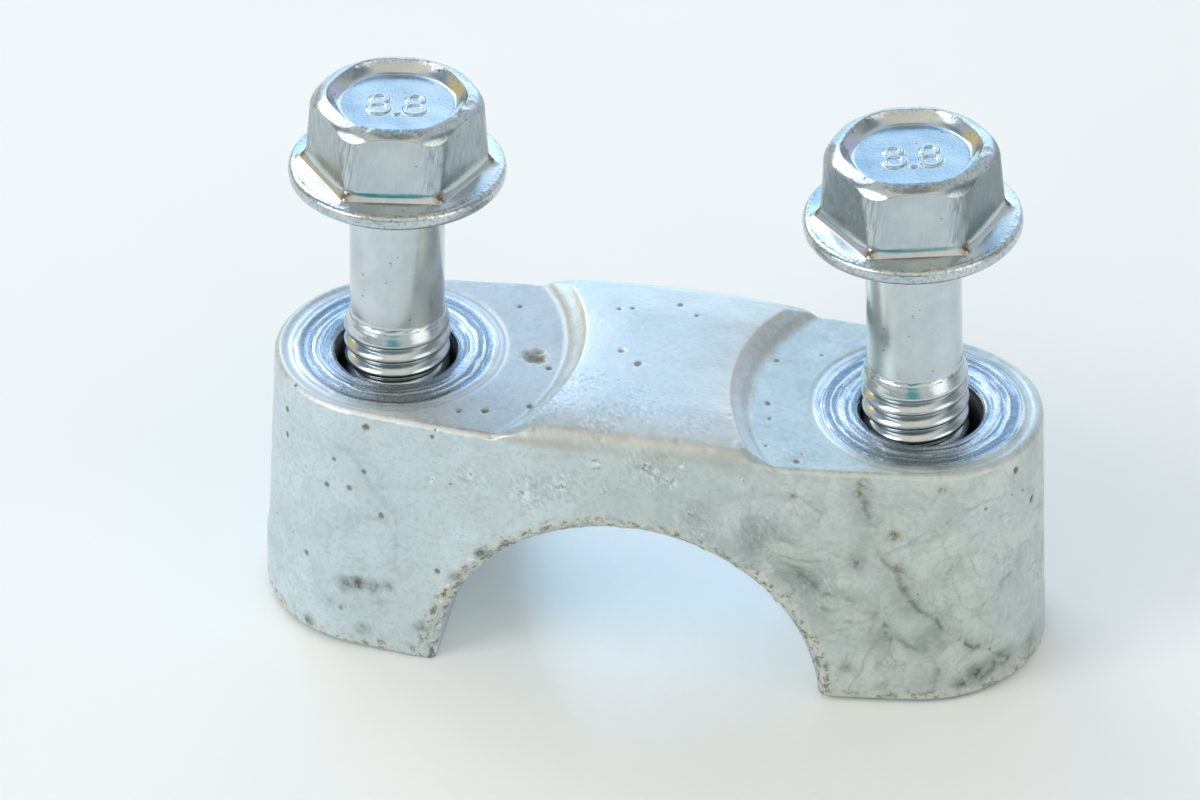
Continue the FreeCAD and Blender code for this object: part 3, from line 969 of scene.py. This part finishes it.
def cast_material():
    made, tree, shader = new_material("cast_aluminium")
    place = millimetres(tree)
    parts = add(tree, "SeparateXYZ", {0: place}).outputs
    pit, edge, vein, rust = layer_parts(tree, "marks")
    stain, scuff, painted_tan_reflection, chip = layer_parts(tree, "wear_and_reflection")
    scored, ring_highlight, bore, fine_ring, broad_ring = pad_nodes(tree, place)
    cloud = noise(tree, place, 0.16, 5.0, 0.6, 0.4)
    patch = noise(tree, place, 0.55, 4.0, 0.6, 0.6)
    grain = noise(tree, place, 2.6, 4.0, 0.65)
    fine = noise(tree, place, 7.0, 3.0, 0.6)
    burr = noise(tree, place, 1.35, 5.0, 0.75)
    hair = stretched_noise(tree, place, (0.45, -0.5, -0.75), 0.5, 3.4)
    marble = noise(tree, place, 0.2, 4.0, 0.55, 1.3)

    busy = ranged(tree, parts["X"], -12.0, 6.0, 0.55, 1.0)
    over_pad = ranged(tree, parts["Z"], PAD_HEIGHT - 0.4, PAD_HEIGHT - 0.1)
    under_hump = ranged(tree, parts["Z"], PAD_HEIGHT + 0.5, PAD_HEIGHT + 0.2, 0.0, 0.6)
    left_pad = product(tree, over_pad, under_hump, ranged(tree, parts["X"], 0.0, -6.0))
    below = ranged(tree, parts["Z"], PAD_HEIGHT - 0.3, PAD_HEIGHT - 2.0)
    rightward = ranged(tree, parts["X"], -14.0, 10.0, 0.25, 0.75)
    streaked = product(tree, ranged(tree, cloud, 0.44, 0.60), below, rightward)
    ridge = math_node(tree, "ABSOLUTE", math_node(tree, "SUBTRACT", marble, 0.5))
    polish = ranged(tree, parts["Z"], PAD_HEIGHT + 0.6, PAD_HEIGHT + 1.1)
    blotched = ranged(tree, patch, 0.40, 0.58, 0.45, 1.0)
    grained = ranged(tree, grain, 0.30, 0.62, 0.45, 0.95)
    uneven = product(tree, math_node(tree, "SUBTRACT", grain, 0.5), 1.3)
    ragged = ranged(tree, math_node(tree, "ADD", pit, uneven), 0.15, 0.95, 0.0, 0.85)
    # The scored rings are real shape; their pale and dark-blue bands are painted highlight and painted
    # reflection.
    ring = math_node(tree, "ADD", product(tree, fine_ring, 0.6), product(tree, broad_ring, 0.4))
    turned = mixed(tree, ranged(tree, ring, 0.44, 0.56), (0.24, 0.31, 0.40, 1), (0.86, 0.91, 0.95, 1))
    turned = coated(tree, turned, [
        (ranged(tree, parts["Y"], -3.5, -7.0, 0.0, 0.55), (0.26, 0.27, 0.24, 1)),
        # painted highlight on the left pad's outer ring
        (product(tree, ring_highlight, 0.85), (0.95, 0.96, 0.97, 1)),
    ])

    # Painted light: the skin is paler and bluer on the left and greyer and greener on the right, for the
    # light that falls from the left.
    painted_side_light = ranged(tree, parts["X"], -24.0, 22.0)
    skin = mixed(tree, painted_side_light, (0.67, 0.78, 0.83, 1), (0.68, 0.73, 0.69, 1))
    colour = coated(tree, skin, [
        # Clouds and patches of the cast skin, the left pad, and the grain
        (broken(tree, busy, cloud, 0.38, 0.66, 0.5, 0.0), (0.49, 0.56, 0.56, 1)),
        (broken(tree, busy, patch, 0.46, 0.70, 0.0, 0.45), (0.44, 0.50, 0.49, 1)),
        (left_pad, (0.59, 0.56, 0.53, 1)),
        (ranged(tree, grain, 0.30, 0.55, 0.35, 0.0), (0.36, 0.40, 0.40, 1)),
        (ranged(tree, grain, 0.58, 0.72, 0.0, 0.35), (0.84, 0.86, 0.86, 1)),
        # Marbled streaks, the polished hump, the painted tan reflection along its front edge, and the veins
        (broken(tree, streaked, ridge, 0.0, 0.016, 0.4, 0.0), (0.22, 0.26, 0.26, 1)),
        (broken(tree, streaked, ridge, 0.0, 0.07, 0.35, 0.0), (0.36, 0.42, 0.41, 1)),
        (product(tree, polish, 0.65), (0.74, 0.72, 0.67, 1)),
        (broken(tree, painted_tan_reflection, patch, 0.30, 0.65, 0.15, 0.55), (0.54, 0.54, 0.48, 1)),
        (broken(tree, vein, patch, 0.35, 0.60, 0.55, 0.95), (0.18, 0.21, 0.21, 1)),
        # Dark and pale scratches, and the light and shade of chips
        (broken(tree, scuff, hair, 0.48, 0.66, 0.0, 0.55), (0.34, 0.39, 0.43, 1)),
        (broken(tree, scuff, hair, 0.42, 0.34, 0.0, 0.6), (0.90, 0.92, 0.93, 1)),
        (broken(tree, chip, grain, 0.50, 0.58, 0.0, 0.7), (0.92, 0.92, 0.88, 1)),
        (broken(tree, chip, grain, 0.47, 0.38, 0.0, 0.8), (0.22, 0.25, 0.23, 1)),
        # Rough rims: their film, bright burrs, and dark flecks of painted shade
        (broken(tree, edge, patch, 0.36, 0.58, 0.9, 0.35), (0.70, 0.69, 0.63, 1)),
        (broken(tree, edge, burr, 0.42, 0.32, 0.0, 0.9), (0.95, 0.94, 0.90, 1)),
        (broken(tree, edge, burr, 0.50, 0.60, 0.0, 0.85), (0.20, 0.21, 0.18, 1)),
        # Stains, pits, rust, the scored pads, and painted shade in the bolt holes
        (product(tree, stain, blotched, grained), (0.13, 0.15, 0.14, 1)),
        (broken(tree, ragged, pit, 0.0, 0.3), (0.22, 0.23, 0.20, 1)),
        (broken(tree, rust, grain, 0.38, 0.54, 0.0, 0.95), (0.25, 0.21, 0.12, 1)),
        (product(tree, scored, 0.9), turned),
        (product(tree, bore, 0.9), (0.06, 0.07, 0.08, 1)),
    ])
    tree.links.new(colour, shader.inputs["Base Color"])
    shader.inputs["Metallic"].default_value = 0.88

    changes = [(edge, 0.14), (scored, -0.22), (pit, 0.2), (polish, -0.08), (painted_tan_reflection, 0.18), (bore, 0.2)]
    rough = roughened(tree, ranged(tree, grain, 0.25, 0.75, 0.40, 0.56), changes)
    tree.links.new(rough, shader.inputs["Roughness"])
    normal = bumped(tree, [
        (0.45, 0.00006, grain),
        (0.30, 0.00003, fine),
        (0.50, 0.00008, product(tree, hair, scuff)),
        (0.80, 0.00018, product(tree, fine_ring, scored)),
        (0.90, 0.00035, product(tree, broad_ring, scored)),
    ])
    tree.links.new(normal, shader.inputs["Normal"])
    return made


def zinc_material():
    made, tree, shader = new_material("zinc_plate")
    place = add(tree, "Attribute", attribute_name="own_place").outputs["Vector"]
    rust, faces, corner, rim = layer_parts(tree, "marks")
    cloud = noise(tree, place, 0.35, 4.0, 0.6)
    grain = noise(tree, place, 4.0, 4.0, 0.6)
    streak = stretched_noise(tree, place, (0.12, 0.0, 1.0), 0.5, 5.5)
    parts = add(tree, "SeparateXYZ", {0: place}).outputs
    flat = add(tree, "CombineXYZ", {"X": parts["X"], "Y": parts["Y"]}).outputs[0]
    radius = vector_value(tree, "LENGTH", flat)
    # Dark streaks of duller plating, weighted onto the side faces as painted shade
    streaks_and_side_shade = broken(tree, faces, streak, 0.30, 0.70, 0.45, 0.85)
    threaded = ranged(tree, parts["Z"], THREAD_TOP - 0.4, THREAD_TOP - 0.9)
    # Painted shade in the roots of the thread
    root = product(tree, ranged(tree, radius, 3.62, 3.36), threaded)
    uneven = ranged(tree, cloud, 0.40, 0.60, 0.2, 1.0)
    scraped = product(tree, corner, ranged(tree, streak, 0.44, 0.62, 0.0, 0.55), uneven)
    specks = ranged(tree, noise(tree, place, 2.2, 2.0, 0.5), 0.70, 0.76, 0.0, 0.8)
    rusty = broken(tree, rust, grain, 0.34, 0.52, 0.2, 0.95)
    plate = mixed(tree, ranged(tree, cloud, 0.35, 0.65), (0.52, 0.59, 0.62, 1), (0.62, 0.68, 0.70, 1))
    colour = coated(tree, plate, [
        (product(tree, streaks_and_side_shade, 0.8), (0.24, 0.29, 0.30, 1)),
        (product(tree, root, 0.75), (0.14, 0.15, 0.14, 1)),
        (scraped, (0.20, 0.24, 0.25, 1)),
        (specks, (0.14, 0.15, 0.15, 1)),
        (broken(tree, rim, grain, 0.50, 0.62, 0.0, 0.6), (0.28, 0.30, 0.30, 1)),
        (rusty, (0.15, 0.10, 0.05, 1)),
    ])
    tree.links.new(colour, shader.inputs["Base Color"])
    shader.inputs["Metallic"].default_value = 1.0

    changes = [(rusty, 0.4), (streaks_and_side_shade, 0.10), (scraped, 0.2)]
    rough = roughened(tree, ranged(tree, cloud, 0.3, 0.7, 0.13, 0.22), changes)
    tree.links.new(rough, shader.inputs["Roughness"])
    dinted = product(tree, grain, math_node(tree, "ADD", product(tree, rim, 0.8), 0.2))
    normal = bumped(tree, [(0.07, 0.00004, streak), (0.6, 0.00005, dinted)])
    tree.links.new(normal, shader.inputs["Normal"])
    return made


def paper_material():
    made, tree, shader = new_material("pale_table")
    place = millimetres(tree)
    tone = noise(tree, place, 0.02, 3.0)
    colour = mixed(tree, ranged(tree, tone, 0.3, 0.7), (0.90, 0.925, 0.92, 1), (0.925, 0.945, 0.94, 1))
    tree.links.new(colour, shader.inputs["Base Color"])
    shader.inputs["Roughness"].default_value = 0.6
    shader.inputs["Specular IOR Level"].default_value = 0.3
    return made


# Stage: the table, tilted to touch both soles, the room's light and the lamps; lengths in millimetres
FLOOR_SLOPE = 0.023
FLOOR_CONTACT = -14.6
FLOOR_GAP = 0.02
FLOOR_SIZE = 8000.0

ROOM_COLOUR = (0.64, 0.67, 0.67, 1)
HORIZON_COLOUR = (0.44, 0.42, 0.38, 1)
HORIZON_RISE = 0.22
# Soft patches of the room: bearing from +Y to +X, elevation, inner and outer angle in degrees, colour
ROOM_PATCHES = [
    (180.0, 58.0, 14.0, 42.0, (0.92, 0.84, 0.72, 1)),
    (84.0, 38.0, 10.0, 26.0, (0.26, 0.29, 0.32, 1)),
    (-92.0, 40.0, 8.0, 22.0, (0.26, 0.31, 0.38, 1)),
    (0.0, 88.0, 6.0, 20.0, (0.36, 0.33, 0.29, 1)),
    (-4.0, 4.0, 14.0, 32.0, (1.00, 1.70, 2.40, 1)),
    (-20.0, 42.0, 12.0, 25.0, (0.20, 0.52, 0.98, 1)),
    (3.0, 21.0, 13.0, 18.0, (1.30, 1.56, 1.78, 1)),
    (36.0, 18.0, 9.0, 19.0, (0.64, 0.62, 0.86, 1)),
    (75.0, 14.0, 8.0, 18.0, (0.40, 0.42, 0.40, 1)),
    (116.0, 23.0, 13.0, 25.0, (1.60, 1.55, 1.45, 1)),
    (176.0, 8.0, 9.0, 17.0, (0.06, 0.34, 0.36, 1)),
    (-116.0, 24.0, 9.0, 18.0, (1.70, 1.72, 1.70, 1)),
    (-68.0, 16.0, 8.0, 17.0, (0.86, 0.68, 0.32, 1)),
    (-92.0, 12.0, 6.0, 12.0, (0.62, 0.60, 0.72, 1)),
]
# Lamps: name, place, aim, width and height in metres, spread in degrees, power in watts, colour
LAMPS = [
    ("window_lamp", (-0.48, 0.50, 0.56), (0, 0, 0), (0.5, 0.5), 180.0, 1.8, (0.90, 0.96, 1.0)),
    ("room_lamp", (-0.70, -0.55, 0.55), (0, 0, 0), (0.5, 0.5), 180.0, 2.8, (1.0, 0.99, 0.98)),
    (
        "arch_lamp", (-0.0188, 0.0656, 0.0216), (0.004, 0.003, 0), (0.026, 0.007),
        6.0, 0.00045, (0.46, 0.75, 1.0),
    ),
]


def make_world():
    world = bpy.data.worlds.new("room")
    bpy.context.scene.world = world
    world.use_nodes = True
    tree = world.node_tree
    tree.nodes.clear()
    direction = add(tree, "TexCoord").outputs["Generated"]
    height = add(tree, "SeparateXYZ", {0: direction}).outputs["Z"]
    colour = mixed(tree, ranged(tree, height, 0.0, HORIZON_RISE), HORIZON_COLOUR, ROOM_COLOUR)
    for bearing, elevation, inner, outer, tint in ROOM_PATCHES:
        turn, rise = math.radians(bearing), math.radians(elevation)
        axis = (math.sin(turn) * math.cos(rise), math.cos(turn) * math.cos(rise), math.sin(rise))
        facing = vector_value(tree, "DOT_PRODUCT", direction, axis)
        mask = ranged(tree, facing, math.cos(math.radians(outer)), math.cos(math.radians(inner)))
        colour = mixed(tree, mask, colour, tint)
    background = add(tree, "Background", {"Color": colour, "Strength": 1.0})
    output = add(tree, "OutputWorld")
    tree.links.new(background.outputs[0], output.inputs["Surface"])


def make_floor():
    half = FLOOR_SIZE * MM / 2
    corners = [(-half, -half, 0), (half, -half, 0), (half, half, 0), (-half, half, 0)]
    mesh = bpy.data.meshes.new("floor")
    mesh.from_pydata(corners, [], [(0, 1, 2, 3)])
    floor = new_object("floor", mesh)
    floor.location = (FLOOR_CONTACT * MM, 0.0, -FLOOR_GAP * MM)
    floor.rotation_euler = (0.0, -math.atan(FLOOR_SLOPE), 0.0)
    mesh.materials.append(paper_material())


def make_lamps():
    for name, place, aim, size, spread, power, colour in LAMPS:
        data = bpy.data.lights.new(name, "AREA")
        data.shape = "RECTANGLE"
        data.size, data.size_y = size
        data.spread = math.radians(spread)
        data.energy = power
        data.color = colour
        lamp = new_object(name, data)
        lamp.location = place
        lamp.rotation_mode = "QUATERNION"
        lamp.rotation_quaternion = (Vector(place) - Vector(aim)).to_track_quat("Z", "Y")


def make_cap():
    mesh, pits = cap_mesh()
    mark_cap(mesh, pits)
    for polygon in mesh.polygons:
        polygon.use_smooth = True
    mesh.transform(Matrix.Scale(MM, 4))
    mesh.materials.clear()
    mesh.materials.append(cast_material())
    cap = new_object("cast_cap", mesh)
    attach(cap, "root")
    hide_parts("clamp_cap")


def make_bolts():
    plate = zinc_material()
    for seed, (node, stance) in enumerate(STANDING.items()):
        mesh = bolt_mesh("plated_" + node)
        wear_bolt(mesh, 10 * seed, RIGHT_FACE_SHADE[node])
        mesh.transform(Matrix.Scale(MM, 4) @ standing_matrix(*stance))
        mesh.materials.append(plate)
        bolt = new_object("plated_" + node, mesh)
        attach(bolt, "root")
        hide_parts(node)


make_camera()
make_world()
make_floor()
make_lamps()
make_cap()
make_bolts()
bpy.context.scene.view_settings.view_transform = "Standard"
